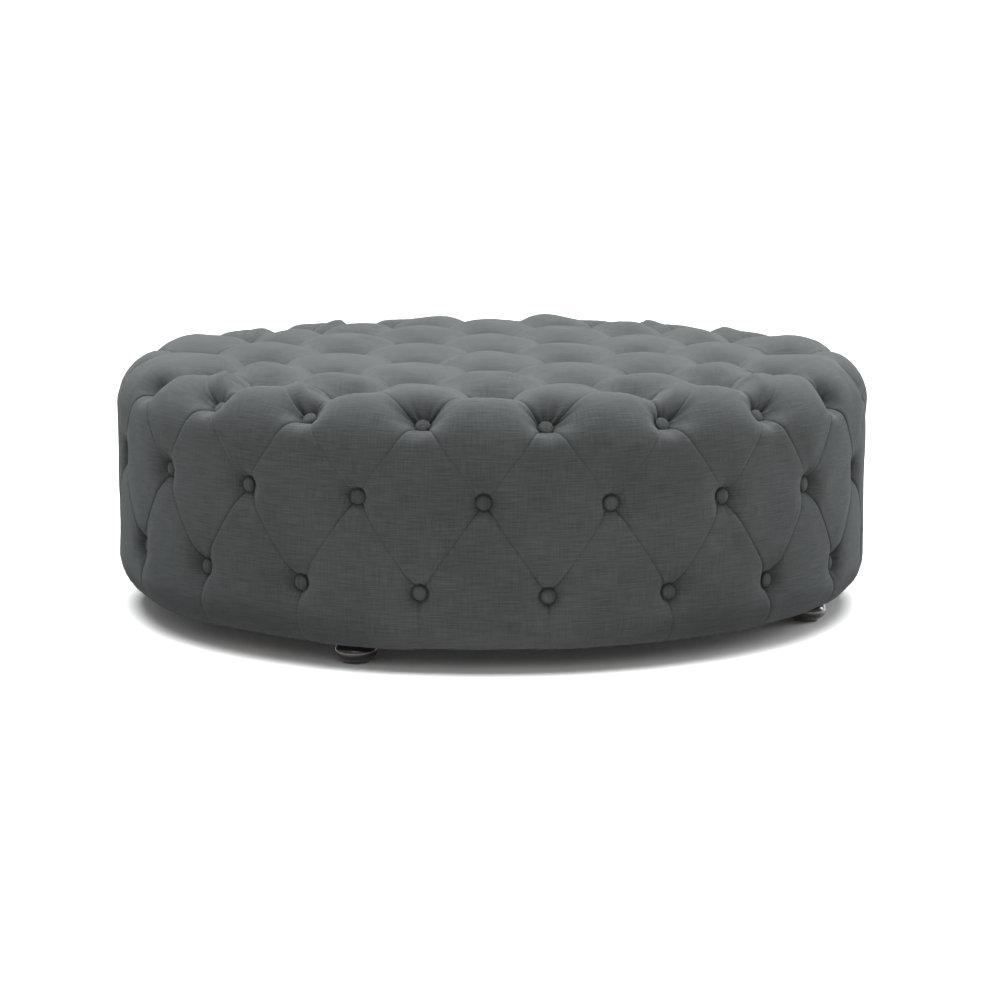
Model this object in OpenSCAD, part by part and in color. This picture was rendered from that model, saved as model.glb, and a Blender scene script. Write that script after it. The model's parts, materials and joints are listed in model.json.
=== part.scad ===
// Round button-tufted floor ottoman on four low bun feet.
// The origin is on the floor under the centre, +Z is up and -Y is the front.
// Everything is in millimetres.
//
// A place on the upholstery is given as [s, turn]: s is the distance from the
// centre of the top, measured along the surface over the edge and down the side,
// and turn is the angle from the front, about +Z.

/* [Overall] */
// Diameter over the padding
overall_d = 1200; // [960:10:1500]
// Height from the floor to the top of the padding
overall_h = 406; // [330:2:500]
// Height of the lower edge of the cover above the floor
skirt_clearance = 30; // [24:1:50]
// Radius of the padded top edge
top_edge_r = 80; // [60:1:96]
// Radius of the padded bottom edge
bottom_edge_r = 52; // [40:1:63]

/* [Upholstery] */
// Thickness of the cover fabric
fabric_t = 1.5; // [1.2:0.1:3]
// Thickness of the polyester wadding
wadding_t = 12; // [6:1:16]
// Thickness of the side foam
side_foam_t = 36; // [30:0.5:50]
// Thickness of the top foam
top_foam_t = 80; // [66:1:110]
// Width of the hem folded under the base
hem_w = 56; // [46:1:70]
// Thickness of the dust cover under the base
dust_cover_t = 1; // [0.5:0.1:1.5]

/* [Tufting] */
// Distance between top buttons across the seat
tuft_pitch_x = 240; // [200:5:290]
// Distance between rows of top buttons, front to back
tuft_pitch_y = 130; // [108:1:160]
// Distance from the side to the outermost top buttons
edge_tuft_inset = 108; // [100:1:130]
// How far past that line a button position may lie and still be pulled in to it
edge_tuft_reach = 90; // [60:1:100]
// Buttons in each ring round the side
ring_count = 20; // [16:1:24]
// Turn of the two side button rings from the front
ring_turn = -1.1; // [-4:0.1:4]
// Turn of the rim button ring from the front
rim_ring_turn = -1.1; // [-3:0.1:2]
// Slope of the rings off level, in degrees, as hand tufting leaves them
ring_lean = 1.25; // [0:0.05:2.5]
// Angle of the rim buttons from vertical
rim_tilt = 54; // [45:1:60]
// Distance from the top down to the upper side buttons
upper_row_drop = 155; // [140:1:190]
// Height of the lower side buttons above the floor
lower_row_z = 117; // [98:1:140]
// Depth of the fabric under a top button
top_well = 46; // [36:1:52]
// Depth of the fabric under a rim button
rim_well = 34; // [26:1:40]
// Depth of the fabric under a side button
side_well = 18; // [14:1:28]
// Radius that a well gains for each millimetre of its depth
well_flare = 0.7; // [0.4:0.05:0.85]

/* [Buttons] */
// Diameter of a covered button
button_d = 22; // [16:1:27]
// Height of a covered button at its edge
button_edge_h = 3; // [2.5:0.5:4]
// Rise of its dome above the edge
button_dome_h = 4; // [2:0.5:5]
// Thickness of the metal back inside a button
button_back_t = 1.5; // [1:0.1:2]
// Gap between a button and the fabric round it
button_gap = 3; // [2:0.5:5]
// Diameter of the tufting twine
twine_d = 1.8; // [1:0.1:2.5]
// Length of the toggle that a twine is tied to
toggle_l = 20; // [14:1:24]
// Thickness of a toggle
toggle_t = 6; // [4:0.5:8]

/* [Frame] */
// Thickness of the top deck, the base ring and its rails
board_t = 18; // [15:1:22]
// Thickness of the bent side skin
skin_t = 4; // [3:0.5:5]
// Width of the base ring
base_ring_w = 130; // [108:1:160]
// Width of the rails that cross the base ring
rail_w = 70; // [50:1:90]
// Number of posts between the base ring and the deck
post_count = 8; // [6:1:8]
// Side of a square post
post_w = 36; // [30:1:44]
// Distance from the side skin to the rim twines' anchors in the deck
rim_anchor_inset = 16; // [12:1:20]

/* [Feet] */
// Distance from the frame's outer edge to each foot's centre
foot_inset = 16.5; // [16.5:0.5:60]
// Turn of the first foot from the front
foot_turn = -22; // [-24:1:-18]
// Largest diameter of a bun foot
foot_d = 63; // [54:1:76]
// Radius of its rounded side
foot_round_r = 11; // [8:0.5:12]
// Diameter of the collar at its top
foot_collar_d = 46; // [38:1:52]
// Thickness of the glide under a foot
glide_t = 3; // [2:0.5:4]
// Diameter of the nail that holds a glide
glide_nail_d = 3; // [2:0.5:4]
// Length of that nail
glide_nail_l = 6; // [4:0.5:6.5]
// Diameter of the hanger bolt in a foot
bolt_d = 8; // [6:1:10]
// Length of the bolt inside the foot
bolt_in_foot = 18; // [12:1:18]
// Side of the block that holds a foot's bolt
block_w = 84; // [72:1:100]
// Height of that block
block_h = 30; // [25:1:40]

/* [Fasteners] */
// Shank diameter of a frame screw
screw_d = 4; // [3:0.5:5]
// Head diameter of a frame screw
screw_head_d = 8; // [7:0.5:10]
// Length of a frame screw
screw_l = 50; // [40:1:60]
// Staples round the hem, and as many round the dust cover
staple_count = 36; // [24:1:48]
// Width of a staple
staple_w = 12; // [8:1:14]
// Thickness of staple wire
staple_wire = 1.2; // [0.8:0.1:1.4]
// Length of a staple's legs
staple_leg = 8; // [6:1:12]

/* [Hidden] */
$fn = 96;
eps = 0.01;

out_r = overall_d / 2;
base_z = skirt_clearance + fabric_t;
dust_z = skirt_clearance - dust_cover_t;
ring_top_z = base_z + board_t;
padding_t = fabric_t + wadding_t;
deck_top_z = overall_h - padding_t - top_foam_t;
deck_z = deck_top_z - board_t;
skin_r = out_r - padding_t - side_foam_t;
frame_r = skin_r - skin_t;

// The surface that the crowns of the padding touch, by distance s from the centre of the top.
flat_s = out_r - top_edge_r;
top_arc_s = top_edge_r * PI / 2;
side_top_z = overall_h - top_edge_r;
side_s = flat_s + top_arc_s;
function tilt_at(s) = s < flat_s ? 0 : s < side_s ? 90 * (s - flat_s) / top_arc_s : 90;
function r_at(s) = s < flat_s ? s : flat_s + top_edge_r * sin(tilt_at(s));
function z_at(s) = s < side_s ? side_top_z + top_edge_r * cos(tilt_at(s)) : side_top_z - (s - side_s);
function s_of_z(z) = side_s + side_top_z - z;

// Button places, each [s, turn]: a diamond lattice on the top, and three staggered rings.
edge_tuft_r = out_r - edge_tuft_inset;
rows = ceil(out_r / tuft_pitch_y);
cols = ceil(2 * out_r / tuft_pitch_x);
lattice = [for (j = [-rows:rows], i = [-cols:cols])
    if (abs(i + j) % 2 == 0) [i * tuft_pitch_x / 2, j * tuft_pitch_y]];
top_tufts = [for (p = lattice) if (norm(p) <= edge_tuft_r + edge_tuft_reach)
    [min(norm(p), edge_tuft_r), atan2(p.x, -p.y)]];
ring_step = 360 / ring_count;
lean = out_r * tan(ring_lean);
function ring(s, first_turn) = [for (k = [0:ring_count - 1]) let (a = first_turn + k * ring_step)
    [s + lean * sin(a), a]];
rim_tufts = ring(flat_s + top_arc_s * rim_tilt / 90, rim_ring_turn + ring_step / 2);
upper_tufts = ring(s_of_z(overall_h - upper_row_drop), ring_turn);
lower_tufts = ring(s_of_z(lower_row_z), ring_turn + ring_step / 2);
side_tufts = concat(upper_tufts, lower_tufts);
tufts = concat(top_tufts, rim_tufts, side_tufts);

// A button's shank stands square to the surface and ends at its elbow, just under the
// fabric, and its twine runs straight from there to its anchor. Both points are [r, z].
rim_anchor_r = frame_r - rim_anchor_inset;
function seat_depth(p) = tilt_at(p[0]) == 0 ? top_well : tilt_at(p[0]) < 90 ? rim_well : side_well;
function elbow(p) = let (t = tilt_at(p[0]), d = seat_depth(p) + fabric_t)
    [r_at(p[0]) - d * sin(t), z_at(p[0]) - d * cos(t)];
function anchor(p) = tilt_at(p[0]) == 0 ? [r_at(p[0]), deck_z]
    : tilt_at(p[0]) < 90 ? [rim_anchor_r, deck_z] : [frame_r, z_at(p[0])];
function twine_tilt(p) = let (e = elbow(p), a = anchor(p)) atan2(e.x - a.x, e.y - a.y);

button_r = button_d / 2;
back_r = button_r - 1.5;
well_r = button_r + button_gap;
well_over = 14;
wadding_under_button = 4;
twine_hole_d = twine_d + 0.2;
wadding_hole_d = 4;
foam_hole_d = 16;
board_hole_d = 6;
longest_hole = 200;

// Posts stand against the side skin, a quarter step off the buttons so that twines pass them.
post_r = sqrt(frame_r * frame_r - post_w * post_w / 4) - post_w / 2;
post_turns = [for (k = [0:post_count - 1])
    ring_turn + (floor(k * ring_count / post_count) + 0.25) * ring_step];
foot_r = frame_r - foot_inset;
foot_turns = [for (k = [0:3]) foot_turn + k * 90];
foot_h = dust_z - glide_t;
foot_glide_r = foot_d / 2 - foot_round_r - 2;
block_r = sqrt(pow(frame_r - 1, 2) - block_w * block_w / 4) - block_w / 2;
block_top_z = ring_top_z + block_h;
bolt_hole_d = bolt_d + 1;
nut_barrel_r = bolt_d / 2 + 1.5;
nut_flange_r = nut_barrel_r + 5.5;
nut_flange_t = 1.5;
nut_barrel_h = 12;
rail_l = 2 * (frame_r - base_ring_w);
hem_r = out_r - bottom_edge_r;
hem_in_r = hem_r - hem_w;
dust_r = foot_r + bolt_hole_d / 2 + 3;
dust_staple_r = foot_r - bolt_hole_d;
hem_staple_r = hem_in_r + 14;
staple_step = 360 / staple_count;

// ---- placing ----

module at_turn(turn, r, z = 0) rotate([0, 0, turn]) translate([0, -r, z]) children();

// At a tuft, sunk by depth, with +Z along the surface's outward normal.
module on_surface(p, depth = 0) at_turn(p[1], r_at(p[0]), z_at(p[0]))
    rotate([tilt_at(p[0]), 0, 0]) translate([0, 0, -depth]) children();

// At a twine's elbow, with -Z along the twine to its anchor.
module on_twine(p) at_turn(p[1], elbow(p).x, elbow(p).y) rotate([twine_tilt(p), 0, 0]) children();

module twine_hole(p, d, length = longest_hole) on_twine(p) translate([0, 0, -length])
    cylinder(d = d, h = length + 1);

module bolt_holes() for (turn = foot_turns) at_turn(turn, foot_r)
    cylinder(d = bolt_hole_d, h = ring_top_z + 1);

module tube(r_out, r_in, h) difference() {
    cylinder(r = r_out, h = h);
    translate([0, 0, -eps]) cylinder(r = r_in, h = h + 2 * eps);
}

// ---- upholstery ----

// Half outline of the padded drum, moved inward by off.
module drum_outline(off) {
    bottom_z = skirt_clearance + bottom_edge_r;
    translate([0, skirt_clearance + off]) square([hem_r, bottom_edge_r]);
    translate([0, bottom_z]) square([out_r - off, side_top_z - bottom_z]);
    translate([0, bottom_z]) square([flat_s, overall_h - off - bottom_z]);
    intersection() {
        translate([flat_s, side_top_z]) circle(r = top_edge_r - off);
        translate([0, side_top_z]) square([out_r, top_edge_r]);
    }
    intersection() {
        translate([hem_r, bottom_z]) circle(r = bottom_edge_r - off);
        translate([0, skirt_clearance]) square([out_r, bottom_edge_r]);
    }
}

// One cone-shaped well, with its floor at depth, grown by off.
module well(depth, off) translate([0, 0, -depth - off])
    cylinder(r1 = well_r + off, r2 = well_r + off + (depth + off + well_over) * well_flare,
        h = depth + off + well_over);

// The drum with a well at every tuft, moved inward by off.
module padded_drum(outline_off, well_off) difference() {
    rotate_extrude() drum_outline(outline_off);
    for (p = tufts) on_surface(p) well(seat_depth(p), well_off);
}

module foam_drum() padded_drum(padding_t, fabric_t + wadding_under_button);

module cover() color("#4b4f4e") difference() {
    padded_drum(0, 0);
    padded_drum(fabric_t, fabric_t);
    translate([0, 0, skirt_clearance - 1]) cylinder(r = hem_in_r, h = fabric_t + 2);
    for (p = tufts) on_surface(p, seat_depth(p) + fabric_t + 1)
        cylinder(d = twine_hole_d, h = fabric_t + 2);
    bolt_holes();
    hem_staples();
    dust_cover_staples();
}

module wadding() color("#f2f1ec") difference() {
    padded_drum(fabric_t, fabric_t);
    foam_drum();
    translate([0, 0, skirt_clearance]) cylinder(r = skin_r, h = deck_top_z - skirt_clearance);
    for (p = tufts) twine_hole(p, wadding_hole_d, 2 * wadding_t);
}

module top_foam() color("#e8d9a0") difference() {
    foam_drum();
    translate([0, 0, skirt_clearance]) cylinder(r = out_r, h = deck_top_z - skirt_clearance);
    for (p = concat(top_tufts, rim_tufts)) twine_hole(p, foam_hole_d);
}

module side_foam() color("#e4d28f") difference() {
    foam_drum();
    translate([0, 0, deck_top_z]) cylinder(r = out_r, h = overall_h);
    translate([0, 0, skirt_clearance]) cylinder(r = skin_r, h = overall_h);
    for (p = side_tufts) twine_hole(p, foam_hole_d);
}

module dust_cover() color("#161616") difference() {
    translate([0, 0, dust_z]) cylinder(r = dust_r, h = dust_cover_t);
    bolt_holes();
    dust_cover_staples();
}

// ---- frame ----

module side_skin() color("#a58056") difference() {
    translate([0, 0, base_z]) tube(skin_r, frame_r, deck_top_z - base_z);
    for (p = side_tufts) twine_hole(p, board_hole_d);
}

module top_deck() color("#d8b98a") difference() {
    translate([0, 0, deck_z]) cylinder(r = frame_r, h = board_t);
    for (p = concat(top_tufts, rim_tufts)) twine_hole(p, board_hole_d);
    deck_screws();
}

module base_ring() color("#cfae7c") difference() {
    translate([0, 0, base_z]) tube(frame_r, frame_r - base_ring_w, board_t);
    bolt_holes();
    base_screws();
    hem_staples();
    dust_cover_staples();
}

// A rail across the base ring's opening, its ends cut to the ring's inner edge.
module rail() intersection() {
    translate([-rail_l / 2, -rail_w / 2, base_z]) cube([rail_l, rail_w, board_t]);
    translate([0, 0, base_z]) cylinder(r = rail_l / 2, h = board_t);
}

module long_rail() color("#c9a671") rotate([0, 0, foot_turn + 90]) rail();

// Two halves that butt against the long rail.
module short_rails() color("#c9a671") difference() {
    rotate([0, 0, foot_turn]) rail();
    rotate([0, 0, foot_turn + 90]) translate([-rail_l / 2, -rail_w / 2, base_z - 1])
        cube([rail_l, rail_w, board_t + 2]);
}

module post(k) color("#bf9a62") difference() {
    at_turn(post_turns[k], post_r, ring_top_z) translate([-post_w / 2, -post_w / 2, 0])
        cube([post_w, post_w, deck_z - ring_top_z]);
    deck_screws();
    base_screws();
}

module foot_block(k) color("#b48d55") difference() {
    at_turn(foot_turns[k], block_r, ring_top_z) translate([-block_w / 2, -block_w / 2, 0])
        cube([block_w, block_w, block_h]);
    at_turn(foot_turns[k], foot_r, ring_top_z - 1) cylinder(r = nut_barrel_r, h = block_h + 2);
    at_turn(foot_turns[k], foot_r, block_top_z - nut_flange_t)
        cylinder(r = nut_flange_r, h = nut_flange_t + 1);
}

// ---- feet ----

// Low turned foot: a round-edged disc under a narrower collar.
module foot_outline() {
    waist = foot_d / 2 - foot_round_r;
    square([waist, 2 * foot_round_r]);
    square([foot_collar_d / 2, foot_h]);
    translate([waist, foot_round_r]) circle(r = foot_round_r);
}

module bun_foot(k) color("#1b1512") at_turn(foot_turns[k], foot_r, glide_t) difference() {
    rotate_extrude() intersection() {
        foot_outline();
        square([foot_d, foot_h]);
    }
    translate([0, 0, foot_h - bolt_in_foot]) cylinder(d = bolt_d, h = bolt_in_foot + 1);
    translate([0, 0, -1]) cylinder(d = glide_nail_d, h = glide_nail_l + 1);
}

module foot_glide(k) color("#3a3a3a") at_turn(foot_turns[k], foot_r) {
    cylinder(r = foot_glide_r, h = glide_t);
    cylinder(d = glide_nail_d, h = glide_t + glide_nail_l);
}

module hanger_bolt(k) color("#b9bcc0") at_turn(foot_turns[k], foot_r, dust_z - bolt_in_foot)
    cylinder(d = bolt_d, h = block_top_z - nut_flange_t - dust_z + bolt_in_foot);

module tee_nut(k) color("#c3c6c9") at_turn(foot_turns[k], foot_r, block_top_z) difference() {
    union() {
        translate([0, 0, -nut_flange_t]) cylinder(r = nut_flange_r, h = nut_flange_t);
        translate([0, 0, -nut_barrel_h]) cylinder(r = nut_barrel_r, h = nut_barrel_h);
    }
    translate([0, 0, -nut_barrel_h - 1]) cylinder(d = bolt_d, h = nut_barrel_h + 2);
}

// ---- buttons and twines ----

// A fabric-covered button: a straight edge under a shallow dome, hollow underneath for its back.
module button() {
    dome_r = (button_r * button_r + button_dome_h * button_dome_h) / (2 * button_dome_h);
    difference() {
        union() {
            cylinder(r = button_r, h = button_edge_h);
            intersection() {
                translate([0, 0, button_edge_h + button_dome_h - dome_r]) sphere(r = dome_r);
                translate([0, 0, button_edge_h]) cylinder(r = button_r, h = button_dome_h + 1);
            }
        }
        translate([0, 0, -1]) cylinder(r = back_r, h = button_back_t + 1);
    }
}

module buttons(places) color("#4b4f4e") for (p = places) on_surface(p, seat_depth(p)) button();

// The metal back of a button, with the shank that passes through the fabric to its twine.
module button_back() {
    cylinder(r = back_r, h = button_back_t);
    translate([0, 0, -fabric_t]) cylinder(d = twine_d, h = fabric_t + eps);
}

module button_backs(places) color("#9aa0a4") for (p = places) on_surface(p, seat_depth(p)) button_back();

// A twine starts just clear of its shank, whose end it would cut into where they meet at an angle.
module twines(places) color("#d9d4c4") for (p = places) {
    start = twine_d / 2 * tan(twine_tilt(p) - tilt_at(p[0]));
    length = norm(elbow(p) - anchor(p)) - abs(start);
    on_twine(p) translate([0, 0, -abs(start) - length]) cylinder(d = twine_d, h = length);
}

// A toggle lies flat against z = 0, from below.
module toggle() translate([-toggle_l / 2, -toggle_t / 2, -toggle_t]) cube([toggle_l, toggle_t, toggle_t]);

module deck_toggles() color("#caa873") for (p = concat(top_tufts, rim_tufts))
    at_turn(p[1], anchor(p).x, deck_z - eps) toggle();

// The ends of a side toggle touch the curved skin.
module side_toggles() color("#caa873") for (p = side_tufts)
    at_turn(p[1], sqrt(frame_r * frame_r - toggle_l * toggle_l / 4) - eps, z_at(p[0]))
        rotate([90, 0, 0]) toggle();

// ---- fasteners ----

// A countersunk screw pointing down, with its head's flat face at z = 1.
module screw() {
    cylinder(d = screw_head_d, h = 1);
    translate([0, 0, (screw_d - screw_head_d) / 2])
        cylinder(d1 = screw_d, d2 = screw_head_d, h = (screw_head_d - screw_d) / 2);
    translate([0, 0, -screw_l]) cylinder(d = screw_d, h = screw_l);
}

module deck_screws() color("#a8abae") for (turn = post_turns) at_turn(turn, post_r, deck_top_z - 1) screw();

module base_screws() color("#a8abae") for (turn = post_turns)
    at_turn(turn, post_r, base_z + 1) mirror([0, 0, 1]) screw();

// A staple driven up from z = 0 until its crown is flush.
module staple() {
    translate([-staple_w / 2, -staple_wire / 2, 0]) cube([staple_w, staple_wire, staple_wire]);
    for (x = [-staple_w / 2, staple_w / 2 - staple_wire])
        translate([x, -staple_wire / 2, 0]) cube([staple_wire, staple_wire, staple_leg]);
}

module hem_staples() color("#8f9396") for (k = [0:staple_count - 1])
    at_turn(k * staple_step, hem_staple_r, skirt_clearance) staple();

module dust_cover_staples() color("#8f9396") for (k = [0:staple_count - 1])
    at_turn((k + 0.5) * staple_step, dust_staple_r, dust_z) staple();

cover();
wadding();
top_foam();
side_foam();
side_skin();
top_deck();
base_ring();
long_rail();
short_rails();
dust_cover();
for (k = [0:post_count - 1]) post(k);
for (k = [0:3]) foot_block(k);
for (k = [0:3]) bun_foot(k);
for (k = [0:3]) foot_glide(k);
for (k = [0:3]) hanger_bolt(k);
for (k = [0:3]) tee_nut(k);
buttons(top_tufts);  // top_buttons
buttons(rim_tufts);  // rim_buttons
buttons(upper_tufts);  // upper_side_buttons
buttons(lower_tufts);  // lower_side_buttons
button_backs(top_tufts);  // top_button_backs
button_backs(rim_tufts);  // rim_button_backs
button_backs(side_tufts);  // side_button_backs
twines(top_tufts);  // top_twines
twines(rim_tufts);  // rim_twines
twines(side_tufts);  // side_twines
deck_toggles();
side_toggles();
deck_screws();
base_screws();
hem_staples();
dust_cover_staples();
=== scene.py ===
"""Looks for the round tufted ottoman: its cover, buttons, feet and dust cover, and the studio.

Lengths are in metres, +Z is up and -Y is the front. The "crown surface" is the smooth drum that
the tops of the pillows touch. Every depth is measured inward from it, along its normal. A turn is
an angle about +Z from the front, towards +X.
"""

import json
import math

import bmesh
import bpy
import numpy as np
from mathutils import Matrix, Vector


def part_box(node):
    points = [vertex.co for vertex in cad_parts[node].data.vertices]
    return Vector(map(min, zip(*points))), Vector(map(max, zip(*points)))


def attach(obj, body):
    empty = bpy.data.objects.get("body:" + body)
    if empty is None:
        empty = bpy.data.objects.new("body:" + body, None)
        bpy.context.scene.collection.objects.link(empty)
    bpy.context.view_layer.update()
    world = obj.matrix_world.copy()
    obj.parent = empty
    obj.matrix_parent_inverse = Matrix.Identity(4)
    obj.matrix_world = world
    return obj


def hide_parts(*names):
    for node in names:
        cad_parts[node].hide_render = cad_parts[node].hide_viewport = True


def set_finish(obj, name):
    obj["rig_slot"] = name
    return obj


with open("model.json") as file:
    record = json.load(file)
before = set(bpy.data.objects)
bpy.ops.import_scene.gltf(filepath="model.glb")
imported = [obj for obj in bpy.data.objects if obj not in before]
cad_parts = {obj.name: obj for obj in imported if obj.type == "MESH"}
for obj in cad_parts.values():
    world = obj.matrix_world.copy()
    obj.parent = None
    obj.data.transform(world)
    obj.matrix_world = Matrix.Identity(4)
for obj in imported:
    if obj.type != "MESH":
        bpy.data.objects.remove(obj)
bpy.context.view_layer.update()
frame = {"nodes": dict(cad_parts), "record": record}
rng = np.random.default_rng(12)

# ---- the drum ----

COVER_LOW, COVER_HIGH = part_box("cover")
OUT_R = COVER_HIGH.x
TOP_Z = COVER_HIGH.z
SKIRT_Z = COVER_LOW.z
TOP_EDGE_R = 0.080
BOTTOM_EDGE_R = 0.052
FLAT_R = OUT_R - TOP_EDGE_R
SIDE_TOP_Z = TOP_Z - TOP_EDGE_R
SIDE_LOW_Z = SKIRT_Z + BOTTOM_EDGE_R
UNDER_R = OUT_R - BOTTOM_EDGE_R
HEM_IN_R = UNDER_R - 0.056
FABRIC_T = 0.0015


def onto_drum(points):
    """The nearest places on the crown surface, and the outward normals there."""
    points = np.asarray(points, float)
    r = np.hypot(points[:, 0], points[:, 1])
    out = points[:, :2] / np.maximum(r, 1e-9)[:, None]
    z = points[:, 2]
    high, low = z > SIDE_TOP_Z, z < SIDE_LOW_Z
    round_r = np.where(high, TOP_EDGE_R, np.where(low, BOTTOM_EDGE_R, OUT_R))
    core_r = np.where(high | low, np.minimum(r, OUT_R - round_r), 0.0)
    core_z = np.where(high, SIDE_TOP_Z, np.where(low, SIDE_LOW_Z, z))
    across, up = r - core_r, z - core_z
    length = np.maximum(np.hypot(across, up), 1e-9)
    across, up = across / length, up / length
    normals = np.stack([out[:, 0] * across, out[:, 1] * across, up], 1)
    places = np.stack([out[:, 0] * core_r, out[:, 1] * core_r, core_z], 1) + normals * round_r[:, None]
    return places, normals


def run_of(places):
    """Distance of places on the crown surface from the centre of the top, along the surface."""
    r, z = np.hypot(places[:, 0], places[:, 1]), places[:, 2]
    top_arc = TOP_EDGE_R * np.arctan2(np.maximum(r - FLAT_R, 0), np.maximum(z - SIDE_TOP_Z, 1e-9))
    low_arc = BOTTOM_EDGE_R * np.arctan2(np.maximum(SIDE_LOW_Z - z, 0), np.maximum(r - UNDER_R, 1e-9))
    on_top, under = z > SIDE_TOP_Z, z < SIDE_LOW_Z
    run = np.where(on_top, np.minimum(r, FLAT_R) + top_arc, FLAT_R + TOP_EDGE_R * math.pi / 2)
    run = run + np.where(on_top, 0, SIDE_TOP_Z - np.maximum(z, SIDE_LOW_Z))
    return run + np.where(under, low_arc + np.maximum(UNDER_R - r, 0), 0)


def turn_of(places):
    return np.arctan2(places[:, 0], -places[:, 1])


# ---- tufts, folds and cells ----

TOP, RIM, UPPER, LOWER, EDGE, HEM = range(6)
BUTTON_NODES = {
    "top_buttons": TOP,
    "rim_buttons": RIM,
    "upper_side_buttons": UPPER,
    "lower_side_buttons": LOWER,
}
BUTTON_REACH = 0.03
LONGEST_TOP_FOLD = 0.184
# How far inside the outermost top buttons the others begin.
EDGE_TUFT_BAND = 0.02


def read_buttons(node):
    """Each button of a CAD node: its place on the crown surface, its normal and its seat's depth."""
    co = np.array([v.co for v in frame["nodes"][node].data.vertices], float)
    co = np.unique(np.round(co, 6), axis=0)
    found = []
    while len(co):
        near = np.linalg.norm(co - co[0], axis=1) < BUTTON_REACH
        place, normal = (a[0] for a in onto_drum(co[near].mean(0)[None]))
        found.append((place, normal, float(((place - co[near]) @ normal).max())))
        co = co[~near]
    found.sort(key=lambda b: (math.atan2(b[0][0], -b[0][1]), b[0][1]))
    return found


class Net:
    """Tufts and hem points joined by folds, as a flat map of the surface."""

    def __init__(self):
        self.places, self.normals, self.depths, self.kinds = [], [], [], []
        self.folds = {}

    def add(self, place, normal, depth, kind):
        self.places.append(place)
        self.normals.append(normal)
        self.depths.append(depth)
        self.kinds.append(kind)

    def finish_points(self):
        self.places = np.array(self.places)
        self.normals = np.array(self.normals)
        self.depths = np.array(self.depths)
        self.kinds = np.array(self.kinds)
        self.turns = turn_of(self.places)
        runs = run_of(self.places)
        self.flat = np.stack([runs * np.sin(self.turns), -runs * np.cos(self.turns)], 1)

    def of_kind(self, kind):
        return np.flatnonzero(self.kinds == kind)

    def fold(self, a, b, is_fold=True):
        self.folds[(min(a, b), max(a, b))] = is_fold

    def is_fold(self, a, b):
        return self.folds[(min(a, b), max(a, b))]

    def fold_near(self, kind_a, kind_b, reach, is_fold=True):
        """Joins points of two kinds whose turns are less than reach apart."""
        for a in self.of_kind(kind_a):
            for b in self.of_kind(kind_b):
                apart = (self.turns[a] - self.turns[b] + math.pi) % (2 * math.pi) - math.pi
                if abs(apart) < reach and a != b:
                    self.fold(a, b, is_fold)

    def cells(self):
        """The polygons between the folds, each as point numbers in order round it."""
        around = {i: [] for i in range(len(self.places))}
        for a, b in self.folds:
            around[a].append(b)
            around[b].append(a)
        for i, near in around.items():
            away = self.flat[near] - self.flat[i]
            around[i] = [near[k] for k in np.argsort(np.arctan2(away[:, 1], away[:, 0]))]
        found, seen = [], set()
        for a, b in [(a, b) for f in self.folds for a, b in (f, f[::-1])]:
            cell = []
            while (a, b) not in seen:
                seen.add((a, b))
                cell.append(a)
                a, b = b, around[b][around[b].index(a) - 1]
            if cell and self.area(cell) > 0:
                found.append(cell)
        return found

    def area(self, cell):
        x, y = self.flat[cell].T
        return float(np.sum(x * np.roll(y, -1) - np.roll(x, -1) * y)) / 2


def make_net():
    """The net of folds between the CAD's buttons, carried on under the base to the hem."""
    net = Net()
    for node, kind in BUTTON_NODES.items():
        for place, normal, depth in read_buttons(node):
            net.add(place, normal, depth, kind)
    for i in [i for i, kind in enumerate(net.kinds) if kind == LOWER]:
        out = np.array([net.places[i][0], net.places[i][1]]) / OUT_R
        down = np.array([0.0, 0.0, -1.0])
        net.add(np.array([*(out * UNDER_R), SKIRT_Z]), down, HEM_EDGE_PLEAT, EDGE)
        net.add(np.array([*(out * HEM_IN_R), SKIRT_Z]), down, HEM_PLEAT, HEM)
    net.finish_points()
    step = 2 * math.pi / len(net.of_kind(RIM))
    top = net.of_kind(TOP)
    edge_r = np.hypot(*net.places[top, :2].T).max() - EDGE_TUFT_BAND
    inner = [i for i in top if math.hypot(*net.places[i, :2]) < edge_r]
    for a in top:
        for b in top[top > a]:
            if np.linalg.norm(net.places[a] - net.places[b]) < LONGEST_TOP_FOLD:
                net.fold(a, b)
    net.fold_near(RIM, TOP, step)
    for pair in [p for p in net.folds if p[0] in inner and net.kinds[p[1]] == RIM]:
        del net.folds[pair]
    net.fold_near(RIM, UPPER, 0.75 * step)
    net.fold_near(UPPER, LOWER, 0.75 * step)
    net.fold_near(LOWER, EDGE, 0.25 * step)
    net.fold_near(EDGE, EDGE, 1.25 * step, False)
    net.fold_near(EDGE, HEM, 0.25 * step)
    net.fold_near(HEM, HEM, 1.25 * step, False)
    return net


# ---- the cover's shape ----

# Depth of the small folds where the cloth turns under the base, and at the hem.
HEM_EDGE_PLEAT = 0.0022
HEM_PLEAT = 0.0008
# Where a patch has its rows of points: close together along the folds and round the buttons.
GRID_ROWS = np.concatenate([
    np.linspace(0, 0.06, 6)[:-1],
    np.linspace(0.06, 0.20, 12)[:-1],
    np.geomspace(0.20, 1, 10),
])
# Radius of the flat seat under a button, and the straight steps of a fold's path.
SEAT_R = 0.0132
PATH_STEPS = 10
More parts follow.
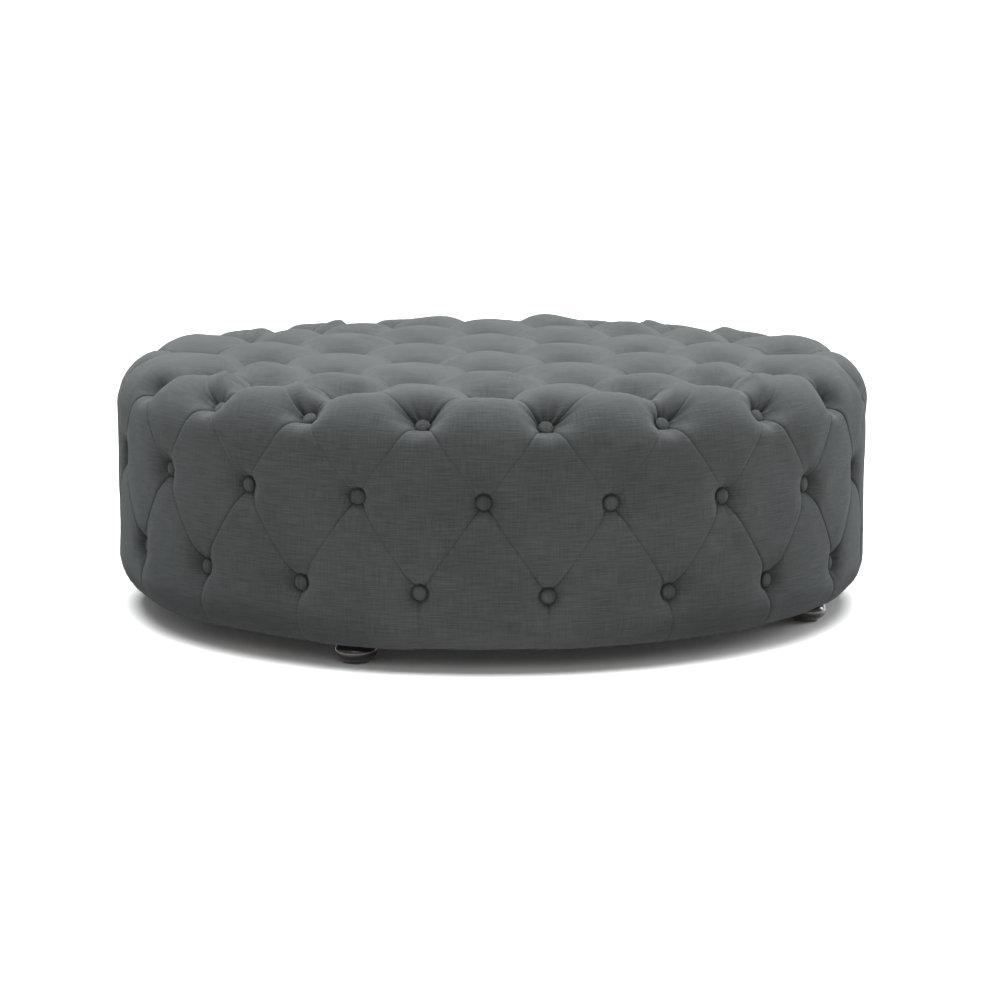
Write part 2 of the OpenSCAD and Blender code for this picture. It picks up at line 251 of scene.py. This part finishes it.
# For each kind of point: depth of its folds half-way, how far their deep end reaches from the point,
# the width of the slope on each side, and the depth of the thin crease along the bottom, half-way and
# near the point.
VALLEY = {TOP: 0.0045, RIM: 0.0035, UPPER: 0.0016, LOWER: 0.0013, EDGE: 0.0008, HEM: 0.0004}
DEEP_REACH = {TOP: 0.032, RIM: 0.028, UPPER: 0.017, LOWER: 0.016, EDGE: 0.02, HEM: 0.02}
SLOPE_W = {TOP: 0.064, RIM: 0.054, UPPER: 0.036, LOWER: 0.034, EDGE: 0.03, HEM: 0.03}
CREASE = {TOP: 0.0, RIM: 0.0012, UPPER: 0.0024, LOWER: 0.0020, EDGE: 0.0010, HEM: 0.0004}
END_CREASE = {TOP: 0.0040, RIM: 0.0065, UPPER: 0.0014, LOWER: 0.0012, EDGE: 0, HEM: 0}
CREASE_W = 0.0019
END_CREASE_REACH = 0.032
# How far a well's steep wall and its wide dish reach, and how much further the dish reaches uphill.
STEEP_REACH = {TOP: 0.012, RIM: 0.0065, UPPER: 0.0036, LOWER: 0.0036, EDGE: 0.001, HEM: 0.001}
DISH_REACH = {TOP: 0.043, RIM: 0.027, UPPER: 0.020, LOWER: 0.018, EDGE: 0.001, HEM: 0.001}
DISH_LEAN = {TOP: 0.0, RIM: 0.45, UPPER: 0.1, LOWER: 0.1}
# Small folds that radiate from a button: how many, how deep, how long, and how far round from straight up.
GATHER_COUNT = {TOP: 7, RIM: 4, UPPER: 5, LOWER: 5, EDGE: 0, HEM: 0}
GATHER_DEPTH = {TOP: 0.0035, RIM: 0.0060, UPPER: 0.0013, LOWER: 0.0011, EDGE: 0, HEM: 0}
GATHER_REACH = {TOP: 0.022, RIM: 0.026, UPPER: 0.016, LOWER: 0.014, EDGE: 0, HEM: 0}
GATHER_SPREAD = {TOP: math.pi, RIM: 1.25, UPPER: math.pi, LOWER: math.pi, EDGE: 0, HEM: 0}
# A pillow's random swelling, its fine unevenness, and how far its crown stands above the crown surface.
CROWN_SWELL = 0.0022
CROWN_UNEVEN = 0.0007
CROWN_RISE = {TOP: 0.0060, RIM: 0.0015, UPPER: 0, LOWER: 0, EDGE: 0, HEM: 0}
# A pillow smaller than this, from its centre to its nearest fold, stays lower.
FULL_CELL_R = 0.070
LOW_CROWN = 0.9
WELL_BLEND = 0.0015


def fade(distance, flat, reach):
    """1 up to flat, then falling to nothing over reach."""
    return np.exp(-((np.maximum(distance - flat, 0) / reach) ** 1.3))


def smooth_max(a, b, softness):
    """The larger of a and b, rounded over where they cross."""
    return 0.5 * (a + b + np.sqrt((a - b) ** 2 + softness**2)) - 0.5 * softness


def waves(points, wavelength, seed, count=14):
    """Gentle irregular variation between about -1 and 1, the same each time for the same seed."""
    local = np.random.default_rng(seed)
    directions = local.normal(size=(count, 3))
    directions /= np.linalg.norm(directions, axis=1)[:, None]
    rates = 2 * math.pi / (wavelength * local.uniform(0.7, 1.5, count))
    phases = local.uniform(0, 2 * math.pi, count)
    return np.sin(points @ (directions * rates[:, None]).T + phases).sum(1) / math.sqrt(count)


def up_the_cover(normal):
    """The direction along the surface towards the middle of the top."""
    out = Vector((normal[0], normal[1], 0))
    if out.length < 0.05:
        return Vector((0, 1, 0))
    tilt = math.atan2(out.length, normal[2])
    return -out.normalized() * math.cos(tilt) + Vector((0, 0, math.sin(tilt)))


def gathers(net, point, away, distance):
    """Depth of the small folds that radiate from one button."""
    local = np.random.default_rng(1000 + point)
    kind = net.kinds[point]
    up = up_the_cover(net.normals[point])
    side = up.cross(Vector(net.normals[point]))
    angle = np.arctan2(away @ np.array(side), away @ np.array(up))
    depth = np.zeros(len(distance))
    count, spread = GATHER_COUNT[kind], GATHER_SPREAD[kind]
    for k in range(count):
        direction = spread * (2 * (k + local.uniform(0.1, 0.9)) / count - 1)
        apart = (angle - direction + math.pi) % (2 * math.pi) - math.pi
        width = local.uniform(0.10, 0.17)
        reach = GATHER_REACH[kind] * local.uniform(0.5, 1.2)
        strength = GATHER_DEPTH[kind] * local.uniform(0.35, 1.0)
        along = np.clip((distance - 0.009) / 0.010, 0, 1) * fade(distance, 0.018, reach)
        depth += strength * along * np.exp(-((apart / width) ** 2))
    return depth


class Fold:
    """One fold's path over the crown surface, with its depth along it."""

    def __init__(self, net, a, b):
        self.a, self.b = a, b
        share = np.linspace(0, 1, PATH_STEPS + 1)[:, None]
        self.path = onto_drum(net.places[a] * (1 - share) + net.places[b] * share)[0]
        kinds = net.kinds[a], net.kinds[b]
        down_from_rim = max(kinds) == UPPER and min(kinds) == RIM
        shrink = 0.5 if down_from_rim else 1
        self.ends = [
            (net.depths[p], DEEP_REACH[net.kinds[p]] * shrink, END_CREASE[net.kinds[p]] * shrink)
            for p in (a, b)
        ]
        self.valley = 0.5 * (VALLEY[kinds[0]] + VALLEY[kinds[1]])
        self.slope_w = 0.5 * (SLOPE_W[kinds[0]] + SLOPE_W[kinds[1]])
        self.crease = 0.5 * (CREASE[kinds[0]] + CREASE[kinds[1]])
        self.roundness = 0.75 if max(kinds) <= RIM else 0.25

    def nearest(self, places):
        """Distance of places from the path, and the nearest points on it."""
        best = np.full(len(places), np.inf)
        nearest = np.zeros_like(places)
        for start, end in zip(self.path, self.path[1:]):
            span = end - start
            share = np.clip((places - start) @ span / (span @ span), 0, 1)[:, None]
            point = start + share * span
            distance = np.linalg.norm(places - point, axis=1)
            closer = distance < best
            best[closer] = distance[closer]
            nearest[closer] = point[closer]
        return best, nearest

    def floor(self, nearest):
        """Depth of the fold's bottom, of its crease, and how clear of both buttons it is, 0 to 1."""
        depth = np.full(len(nearest), self.valley)
        crease = np.full(len(nearest), self.crease)
        clear = np.ones(len(nearest))
        for end, (seat, reach, end_crease) in zip((self.path[0], self.path[-1]), self.ends):
            away = np.linalg.norm(nearest - end, axis=1)
            near = fade(away, SEAT_R, reach)
            depth += (seat - self.valley) * near
            crease += end_crease * fade(away, SEAT_R, END_CREASE_REACH)
            clear *= 1 - near
        return depth, crease, clear


def cell_depth(net, folds, cell, centre, places):
    """Depth of places in one cell, inward from the crown surface, and how clear of its folds they are."""
    left = np.ones(len(places))
    floors, weights, crease = np.zeros(len(places)), np.full(len(places), 1e-9), np.zeros(len(places))
    inner_r = min((f.nearest(centre[None])[0][0] for f in folds), default=FULL_CELL_R)
    for fold in folds:
        distance, nearest = fold.nearest(places)
        floor, fold_crease, clear = fold.floor(nearest)
        width = min(fold.slope_w, fold.nearest(centre[None])[0][0])
        power = 1 + fold.roundness * clear
        rise = np.clip(distance / width, 0, 1) ** power
        share = (1 - rise) ** 2.2
        weight = share / (1.0001 - share)
        left *= 1 - share
        floors += floor * weight
        weights += weight
        crease += fold_crease * np.exp(-distance / CREASE_W)
    floor = floors / weights
    low_crown = LOW_CROWN * max(0.0, 1 - inner_r / FULL_CELL_R)
    depth = floor * (1 - left * (1 - low_crown)) + crease
    for point in cell:
        kind = net.kinds[point]
        if kind > LOWER:
            continue
        away = places - net.places[point]
        distance = np.linalg.norm(away, axis=1)
        seat = net.depths[point]
        up = np.array(up_the_cover(net.normals[point]))
        lean = 1 + DISH_LEAN[kind] * (away @ up) / np.maximum(distance, 1e-6)
        well = 0.5 * fade(distance, SEAT_R, STEEP_REACH[kind] * lean)
        well = well + 0.5 * fade(distance, SEAT_R, DISH_REACH[kind] * lean)
        depth = smooth_max(depth, seat * well, WELL_BLEND)
        depth = depth + gathers(net, point, away, distance)
        depth = np.where(distance < SEAT_R, np.maximum(depth, seat), depth)
    return depth, left


def patch_points(corners):
    """A grid of places between a point, a fold's middle, a cell's centre and another fold's middle."""
    u, v = (g.ravel()[:, None] for g in np.meshgrid(GRID_ROWS, GRID_ROWS, indexing="ij"))
    start, along_u, centre, along_v = corners
    return start * (1 - u) * (1 - v) + along_u * u * (1 - v) + centre * u * v + along_v * (1 - u) * v


def make_cover_arrays(net):
    """Vertices, faces, crown places and depths of the whole tufted surface."""
    all_places, all_moved, faces, count = [], [], [], 0
    row = len(GRID_ROWS)
    corner = (np.arange(row - 1)[:, None] * row + np.arange(row - 1)[None]).ravel()
    quads = np.stack([corner, corner + row, corner + row + 1, corner + 1], 1)
    for cell in net.cells():
        size = len(cell)
        centre = onto_drum(net.places[cell].mean(0)[None])[0][0]
        pairs = [(cell[i], cell[(i + 1) % size]) for i in range(size)]
        middles = [onto_drum(net.places[list(pair)].mean(0)[None])[0][0] for pair in pairs]
        folds = [Fold(net, *pair) for pair in pairs if net.is_fold(*pair)]
        grids = [
            patch_points([net.places[point], middles[i], centre, middles[i - 1]])
            for i, point in enumerate(cell)
        ]
        places, normals = onto_drum(np.concatenate(grids))
        depth, left = cell_depth(net, folds, cell, centre, places)
        rise = np.mean([CROWN_RISE[net.kinds[point]] for point in cell])
        swelling = CROWN_SWELL * rng.uniform(-1, 1) - rise
        if min(net.kinds[cell]) < EDGE:
            depth = depth + (swelling + CROWN_UNEVEN * waves(places, 0.13, 5)) * left**2
        all_places.append(places)
        all_moved.append(places - normals * depth[:, None])
        for _ in grids:
            faces.append(quads + count)
            count += row * row
    places, moved, faces = (np.concatenate(a) for a in (all_places, all_moved, faces))
    keys, first, inverse = np.unique(np.round(places, 5), axis=0, return_index=True, return_inverse=True)
    inverse = inverse.ravel()
    welded = np.zeros((len(keys), 3))
    np.add.at(welded, inverse, moved)
    welded /= np.bincount(inverse)[:, None]
    return places[first], welded, inverse[faces]


def close_under(bm):
    """Closes the cover's opening under the base with a flat floor inside the hem."""
    rim = [e for e in bm.edges if e.is_boundary]
    for scale, lift in ((1.0, FABRIC_T), (0.7, FABRIC_T), (0.35, FABRIC_T)):
        made = bmesh.ops.extrude_edge_only(bm, edges=rim)["geom"]
        rim = [e for e in made if isinstance(e, bmesh.types.BMEdge) and e.is_boundary]
        for vert in {v for e in rim for v in e.verts}:
            reach = math.hypot(vert.co.x, vert.co.y)
            vert.co.x *= scale * HEM_IN_R / reach
            vert.co.y *= scale * HEM_IN_R / reach
            vert.co.z = SKIRT_Z + lift
    bmesh.ops.contextual_create(bm, geom=rim)


def new_object(name, mesh):
    piece = bpy.data.objects.new(name, mesh)
    bpy.context.scene.collection.objects.link(piece)
    for polygon in mesh.polygons:
        polygon.use_smooth = True
    return piece


def make_cover(net):
    places, verts, faces = make_cover_arrays(net)
    mesh = bpy.data.meshes.new("tufted_cover")
    mesh.from_pydata(verts.tolist(), [], faces.tolist())
    store_cloth(mesh, places)
    bm = bmesh.new()
    bm.from_mesh(mesh)
    close_under(bm)
    bmesh.ops.recalc_face_normals(bm, faces=bm.faces)
    bm.to_mesh(mesh)
    bm.free()
    piece = new_object("tufted_cover", mesh)
    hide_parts("cover", "wadding", "top_foam", "side_foam")
    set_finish(piece, "linen")
    return piece


def store_cloth(mesh, places):
    """Keeps where each point lies in the weave of the side and of the top, and the side's share of it."""
    side = np.clip((run_of(places) - FLAT_R) / (TOP_EDGE_R * 0.8), 0, 1)
    along_side = np.stack([turn_of(places) * OUT_R, run_of(places), np.zeros(len(places))], 1)
    along_top = np.stack([places[:, 0], places[:, 1], np.zeros(len(places))], 1)
    for name, values in (("cloth_side", along_side), ("cloth_top", along_top)):
        layer = mesh.attributes.new(name, "FLOAT_VECTOR", "POINT")
        layer.data.foreach_set("vector", values.astype(np.float32).ravel())
    layer = mesh.attributes.new("side_share", "FLOAT", "POINT")
    layer.data.foreach_set("value", side.astype(np.float32))


# ---- turned and round pieces ----


def lathe(bm, outline, segments, place, normal, spin=0.0, ripple=None):
    """Turns an outline of (radius, height) points about normal at place, and closes both ends."""
    axis = Vector(normal).normalized()
    frame_matrix = Matrix.Translation(place) @ axis.to_track_quat("Z", "Y").to_matrix().to_4x4()
    rings = []
    for radius, height in outline:
        ring = []
        for k in range(segments):
            angle = spin + 2 * math.pi * k / segments
            grown = radius + (ripple(angle, height) if ripple else 0)
            point = Vector((grown * math.cos(angle), grown * math.sin(angle), height))
            ring.append(bm.verts.new(frame_matrix @ point))
        rings.append(ring)
    for low, high in zip(rings, rings[1:]):
        for k in range(segments):
            after = (k + 1) % segments
            bm.faces.new((low[k], low[after], high[after], high[k]))
    for ring, height, flip in ((rings[0], outline[0][1], True), (rings[-1], outline[-1][1], False)):
        middle = bm.verts.new(frame_matrix @ Vector((0, 0, height)))
        for k in range(segments):
            trio = (ring[k], ring[(k + 1) % segments], middle)
            bm.faces.new(trio[::-1] if flip else trio)


def mesh_piece(name, bm):
    mesh = bpy.data.meshes.new(name)
    bm.to_mesh(mesh)
    bm.free()
    return new_object(name, mesh)


BUTTON_R = 0.0107
BUTTON_EDGE_H = 0.0030
BUTTON_DOME_H = 0.0042


def button_outline():
    """A domed button: a tucked-in foot, a full round edge and a flatter crown."""
    low = [(BUTTON_R * math.cos(a) ** 0.6, BUTTON_EDGE_H * (1 + math.sin(a)))
           for a in np.radians(np.linspace(-70, -12, 6))]
    high = [(BUTTON_R * math.cos(a), BUTTON_EDGE_H + BUTTON_DOME_H * math.sin(a) ** 0.9)
            for a in np.radians(np.linspace(0, 86, 13))]
    return low + high


def make_buttons(name, node, net, kind):
    """The fabric-covered buttons of one CAD node, each with its cloth gathered under its edge."""
    bm = bmesh.new()
    for point in net.of_kind(kind):
        local = np.random.default_rng(500 + point)
        pleats, phase = int(local.integers(11, 15)), local.uniform(0, 6)

        def ripple(angle, height):
            tucked = max(0.0, 1 - height / BUTTON_EDGE_H)
            return -0.0005 * tucked * (1 + math.cos(pleats * angle + phase))

        normal = net.normals[point] + local.uniform(-0.09, 0.09, 3)
        seat = net.places[point] - net.normals[point] * (net.depths[point] - 0.0004)
        lathe(bm, button_outline(), 56, Vector(seat), normal, local.uniform(0, 6), ripple)
    piece = mesh_piece(name, bm)
    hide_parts(node)
    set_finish(piece, "button_linen")
    return piece


def arc(centre, radius, start, end, count):
    return [(centre[0] + radius * math.cos(a), centre[1] + radius * math.sin(a))
            for a in np.radians(np.linspace(start, end, count))]


def make_foot(number):
    """A low turned foot: a full round bun that narrows a little towards its top."""
    low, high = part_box(f"bun_foot_{number}")
    middle = (low + high) / 2
    radius, height = (high.x - low.x) / 2, high.z - low.z
    waist, middle_h = 0.52 * radius, 0.53 * height
    outline = [(waist + (radius - waist) * math.cos(a), middle_h * (1 + math.sin(a)))
               for a in np.radians(np.linspace(-88, 52, 34))]
    outline += arc((outline[-1][0] - 0.0012, height - 0.0012), 0.0012, 0, 90, 5)
    bm = bmesh.new()
    lathe(bm, outline, 96, Vector((middle.x, middle.y, low.z)), (0, 0, 1))
    piece = mesh_piece(f"turned_foot_{number}", bm)
    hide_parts(f"bun_foot_{number}")
    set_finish(piece, "black_lacquer")
    return piece


DUST_CLOTH_T = 0.0006
DUST_SLACK = 0.0004


def make_dust_cover():
    """A thin round cloth stapled under the base, just slack between its staples."""
    low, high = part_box("dust_cover")
    radius = high.x
    rings, segments = 30, 144
    bm = bmesh.new()
    layers = []
    for lift in (0.0, DUST_CLOTH_T):
        layer = [[bm.verts.new((0, 0, low.z + lift))]]
        for i in range(1, rings + 1):
            r = radius * i / rings
            around = np.arange(segments) * 2 * math.pi / segments
            ring = np.stack([r * np.cos(around), r * np.sin(around), np.zeros(segments)], 1)
            slack = 0.00035 * waves(ring, 0.16, 7) * (1 - (i / rings) ** 6)
            layer.append([bm.verts.new((x, y, low.z + lift + DUST_SLACK + min(max(s, -DUST_SLACK), 0.0)))
                          for (x, y, _), s in zip(ring, slack)])
        layers.append(layer)
    for layer, flip in ((layers[0], True), (layers[1], False)):
        for k in range(segments):
            after = (k + 1) % segments
            trio = (layer[0][0], layer[1][k], layer[1][after])
            bm.faces.new(trio[::-1] if flip else trio)
            for inner, outer in zip(layer[1:], layer[2:]):
                quad = (inner[k], outer[k], outer[after], inner[after])
                bm.faces.new(quad[::-1] if flip else quad)
    for k in range(segments):
        after = (k + 1) % segments
        bm.faces.new((layers[0][-1][k], layers[0][-1][after], layers[1][-1][after], layers[1][-1][k]))
    piece = mesh_piece("dust_cloth", bm)
    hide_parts("dust_cover")
    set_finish(piece, "dust_cloth")
    return piece


# ---- materials ----


class Shader:
    """Builds one node material, from left to right."""

    def __init__(self, name):
        self.material = bpy.data.materials.new(name)
        self.material.use_nodes = True
        self.nodes = self.material.node_tree.nodes
        self.links = self.material.node_tree.links
        self.bsdf = self.nodes["Principled BSDF"]

    def make(self, kind, inputs=None, **settings):
        made = self.nodes.new(kind)
        for key, value in settings.items():
            setattr(made, key, value)
        for key, value in (inputs or {}).items():
            if isinstance(value, bpy.types.NodeSocket):
                self.links.new(value, made.inputs[key])
            else:
                made.inputs[key].default_value = value
        return made

    def attribute(self, name, output="Vector"):
        return self.make("ShaderNodeAttribute", attribute_name=name).outputs[output]

    def scaled(self, vector, scale):
        return self.make("ShaderNodeVectorMath", {0: vector, 1: scale}, operation="MULTIPLY").outputs[0]

    def noise(self, vector, scale, detail=3.0, roughness=0.55):
        inputs = {"Vector": vector, "Scale": scale, "Detail": detail, "Roughness": roughness}
        return self.make("ShaderNodeTexNoise", inputs).outputs["Fac"]

    def math(self, operation, a, b=0.0):
        return self.make("ShaderNodeMath", {0: a, 1: b}, operation=operation).outputs[0]

    def mix(self, factor, a, b):
        made = self.make("ShaderNodeMix", {"Factor": factor}, data_type="FLOAT")
        for socket, value in ((made.inputs[2], a), (made.inputs[3], b)):
            if isinstance(value, bpy.types.NodeSocket):
                self.links.new(value, socket)
            else:
                socket.default_value = value
        return made.outputs[0]

    def ramp(self, factor, stops):
        made = self.make("ShaderNodeValToRGB", {"Fac": factor})
        elements = made.color_ramp.elements
        while len(elements) < len(stops):
            elements.new(0.5)
        for element, (position, colour) in zip(elements, stops):
            element.position = position
            element.color = (*colour, 1)
        return made.outputs["Color"]

    def bump(self, height, distance, strength=1.0, normal=None):
        inputs = {"Height": height, "Distance": distance, "Strength": strength}
        if normal is not None:
            inputs["Normal"] = normal
        return self.make("ShaderNodeBump", inputs).outputs["Normal"]

    def finish(self, **inputs):
        for key, value in inputs.items():
            socket = self.bsdf.inputs[key.replace("_", " ")]
            if isinstance(value, bpy.types.NodeSocket):
                self.links.new(value, socket)
            else:
                socket.default_value = value
        return self.material


# Width of two threads of the weave.
THREAD = 0.0011


def weave_height(shader, cloth):
    """Height of a plain weave: fine threads both ways, and the slubs of uneven linen yarn."""
    thread_rate = 2 * math.pi / THREAD
    parts = shader.make("ShaderNodeSeparateXYZ", {0: cloth})
    wobble = shader.math("MULTIPLY", shader.noise(shader.scaled(cloth, (60, 60, 60)), 1.0), 2.5)
    threads = []
    for axis in ("X", "Y"):
        phase = shader.math("ADD", shader.math("MULTIPLY", parts.outputs[axis], thread_rate), wobble)
        threads.append(shader.math("SINE", phase))
    weave = shader.math("MULTIPLY", threads[0], threads[1])
    weft = shader.noise(shader.scaled(cloth, (22, 620, 1)), 1.0, 4.0, 0.6)
    warp = shader.noise(shader.scaled(cloth, (520, 26, 1)), 1.0, 3.0, 0.6)
    slubs = shader.math("ADD", weft, shader.math("MULTIPLY", warp, 0.5))
    return weave, slubs


def linen(name, directions, dark, light):
    """Heathered linen, along one direction of cloth, or along the side's and the top's and their share."""
    shader = Shader(name)
    if len(directions) == 1:
        weave, slubs = weave_height(shader, directions[0](shader))
    else:
        side_weave, side_slubs = weave_height(shader, directions[0](shader))
        top_weave, top_slubs = weave_height(shader, directions[1](shader))
        share = directions[2](shader)
        weave = shader.mix(share, top_weave, side_weave)
        slubs = shader.mix(share, top_slubs, side_slubs)
    place = shader.make("ShaderNodeTexCoord").outputs["Object"]
    cloudy = shader.noise(place, 9.0, 2.0)
    fuzz = shader.noise(place, 900.0, 2.0)
    tone = shader.math("ADD", slubs, shader.math("MULTIPLY", cloudy, 0.30))
    tone = shader.math("ADD", tone, shader.math("MULTIPLY", fuzz, 0.25))
    tone = shader.math("ADD", tone, shader.math("MULTIPLY", weave, 0.05))
    colour = shader.ramp(shader.math("SUBTRACT", tone, 0.53), [(0.22, dark), (0.80, light)])
    coarse = shader.bump(slubs, 0.0009, 0.5)
    fibres = shader.math("ADD", weave, shader.math("MULTIPLY", fuzz, 1.2))
    fine = shader.bump(fibres, 0.00022, 0.6, coarse)
    return shader.finish(Base_Color=colour, Roughness=0.92, Normal=fine, Sheen_Weight=0.12,
                         Sheen_Roughness=0.45, Sheen_Tint=(0.80, 0.86, 0.88, 1), Specular_IOR_Level=0.2)


LINEN_DARK = (0.026, 0.0285, 0.0285)
LINEN_LIGHT = (0.064, 0.069, 0.069)


def cover_linen():
    return linen(
        "linen_cover",
        [
            lambda shader: shader.attribute("cloth_side"),
            lambda shader: shader.attribute("cloth_top"),
            lambda shader: shader.attribute("side_share", "Fac"),
        ],
        LINEN_DARK,
        LINEN_LIGHT,
    )


def button_linen():
    def place(shader):
        return shader.make("ShaderNodeTexCoord").outputs["Object"]

    return linen("linen_button", [place], LINEN_DARK, LINEN_LIGHT)


def lacquer():
    shader = Shader("black_lacquer")
    place = shader.make("ShaderNodeTexCoord").outputs["Object"]
    grain = shader.noise(shader.scaled(place, (90, 90, 900)), 1.0, 5.0, 0.6)
    smudge = shader.noise(place, 60.0, 3.0)
    colour = shader.ramp(grain, [(0.35, (0.010, 0.008, 0.007)), (0.75, (0.030, 0.024, 0.020))])
    roughness = shader.math("ADD", shader.math("MULTIPLY", smudge, 0.16), 0.10)
    normal = shader.bump(grain, 0.0002, 0.25)
    return shader.finish(Base_Color=colour, Roughness=roughness, Normal=normal, Coat_Weight=0.6,
                         Coat_Roughness=0.08)


def wood(name, dark, light):
    shader = Shader(name)
    place = shader.make("ShaderNodeTexCoord").outputs["Object"]
    rings = shader.noise(shader.scaled(place, (6, 60, 60)), 1.0, 6.0, 0.6)
    pores = shader.noise(shader.scaled(place, (60, 700, 700)), 1.0, 3.0)
    colour = shader.ramp(shader.math("ADD", rings, shader.math("MULTIPLY", pores, 0.2)),
                         [(0.40, dark), (0.80, light)])
    return shader.finish(Base_Color=colour, Roughness=0.65, Normal=shader.bump(pores, 0.0004, 0.4))


def grainy(name, dark, light, scale, depth, **finish):
    """One colour with a fine all-over grain: cloth fibre, foam, cast plastic or plated metal."""
    shader = Shader(name)
    place = shader.make("ShaderNodeTexCoord").outputs["Object"]
    grain = shader.noise(place, scale, 4.0, 0.6)
    broad = shader.noise(place, scale / 30, 2.0)
    tone = shader.math("ADD", shader.math("MULTIPLY", grain, 0.6), shader.math("MULTIPLY", broad, 0.4))
    colour = shader.ramp(tone, [(0.3, dark), (0.7, light)])
    return shader.finish(Base_Color=colour, Normal=shader.bump(grain, depth, 0.5), **finish)


def make_materials():
    """One material for each of the record's slots."""
    return {
        "linen": cover_linen(),
        "button_linen": button_linen(),
        "black_lacquer": lacquer(),
        "ply": wood("ply", (0.42, 0.28, 0.15), (0.68, 0.50, 0.31)),
        "timber": wood("timber", (0.46, 0.30, 0.15), (0.70, 0.52, 0.31)),
        "wadding": grainy("wadding", (0.78, 0.78, 0.75), (0.92, 0.92, 0.90), 400, 0.001, Roughness=0.95),
        "foam": grainy("foam", (0.72, 0.62, 0.38), (0.88, 0.79, 0.55), 900, 0.0008, Roughness=0.95),
        "dust_cloth": grainy("dust_cloth", (0.010, 0.010, 0.010), (0.030, 0.030, 0.030), 1400, 0.0002,
                             Roughness=0.9, Sheen_Weight=0.2),
        "glide_plastic": grainy("glide_plastic", (0.03, 0.03, 0.03), (0.06, 0.06, 0.06), 900, 0.0001,
                                Roughness=0.5),
        "zinc": grainy("zinc", (0.50, 0.51, 0.53), (0.70, 0.71, 0.73), 700, 0.00005, Metallic=1.0,
                       Roughness=0.35),
        "twine": grainy("twine", (0.62, 0.56, 0.44), (0.82, 0.77, 0.66), 1500, 0.0003, Roughness=0.85),
    }


def paint(materials, pieces):
    for piece in pieces:
        piece.data.materials.clear()
        piece.data.materials.append(materials[piece["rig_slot"]])
    slots = {part["node"]: part["material_slot"] for part in frame["record"]["subparts"]}
    for name, node in frame["nodes"].items():
        node.data.materials.clear()
        node.data.materials.append(materials[slots[name]])


# ---- stage, lights and camera ----

STAGE_HALF = 9.0
BACK_Y = 4.5
SWEEP_R = 1.6
CAMERA_BACK = 4.539
CAMERA_UP = 0.917
CAMERA_DOWN_DEG = 9.5
CAMERA_TURN = 0.003
CAMERA_LENS = 101.9


def make_stage():
    """A white floor that sweeps up into a backdrop, and throws no light back on matte surfaces."""
    sweep = [(y, 0.0) for y in (-STAGE_HALF, -3.0, 0.0, BACK_Y - SWEEP_R)]
    sweep += [(BACK_Y - SWEEP_R + SWEEP_R * math.sin(a), SWEEP_R - SWEEP_R * math.cos(a))
              for a in np.radians(np.linspace(6, 90, 15))]
    sweep += [(BACK_Y, 6.0)]
    bm = bmesh.new()
    columns = [[bm.verts.new((x, y, z)) for y, z in sweep] for x in (-STAGE_HALF, STAGE_HALF)]
    for k in range(len(sweep) - 1):
        bm.faces.new((columns[0][k], columns[1][k], columns[1][k + 1], columns[0][k + 1]))
    stage = mesh_piece("studio_stage", bm)
    shader = Shader("studio_white")
    stage.data.materials.append(shader.finish(Base_Color=(0.93, 0.93, 0.93, 1), Roughness=0.9,
                                              Specular_IOR_Level=0.0))
    stage.visible_diffuse = False


def area_light(name, place, size, power, target=(0, 0, 0.2), colour=(1, 1, 1)):
    data = bpy.data.lights.new(name, "AREA")
    data.shape = "RECTANGLE"
    data.size, data.size_y = size
    data.energy = power
    data.color = colour
    lamp = bpy.data.objects.new(name, data)
    lamp.location = place
    lamp.rotation_euler = (Vector(target) - Vector(place)).to_track_quat("-Z", "Y").to_euler()
    lamp.visible_camera = False
    bpy.context.scene.collection.objects.link(lamp)
    return lamp


def make_lights():
    area_light("overhead", (0, 0.3, 3.4), (4.8, 4.8), 505, colour=(0.985, 1.0, 1.0))
    area_light("front_fill", (0.4, -4.6, 2.9), (4.6, 2.2), 36, colour=(1.0, 0.99, 0.96))
    area_light("right_edge", (4.2, 1.2, 1.6), (1.6, 2.4), 70)
    area_light("floor_bounce", (0, -1.45, 0.012), (4.2, 1.7), 27, target=(0, -1.45, 2),
               colour=(1.0, 0.985, 0.93))
    world = bpy.data.worlds.new("studio")
    world.use_nodes = True
    world.node_tree.nodes["Background"].inputs["Color"].default_value = (1, 1, 1, 1)
    world.node_tree.nodes["Background"].inputs["Strength"].default_value = 0.41
    bpy.context.scene.world = world


def make_camera():
    data = bpy.data.cameras.new("camera")
    data.lens = CAMERA_LENS
    data.sensor_width = 36.0
    camera = bpy.data.objects.new("camera", data)
    camera.location = (0, -CAMERA_BACK, CAMERA_UP)
    camera.rotation_euler = (math.radians(90 - CAMERA_DOWN_DEG), 0, -CAMERA_TURN)
    bpy.context.scene.collection.objects.link(camera)
    bpy.context.scene.camera = camera


def main():
    net = make_net()
    pieces = [make_cover(net)]
    for node, kind in BUTTON_NODES.items():
        pieces.append(make_buttons("covered_" + node, node, net, kind))
    pieces += [make_foot(number) for number in range(1, 5)]
    pieces.append(make_dust_cover())
    for piece in pieces:
        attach(piece, "root")
    paint(make_materials(), pieces)
    make_stage()
    make_lights()
    make_camera()
    bpy.context.scene.view_settings.view_transform = "Standard"


main()
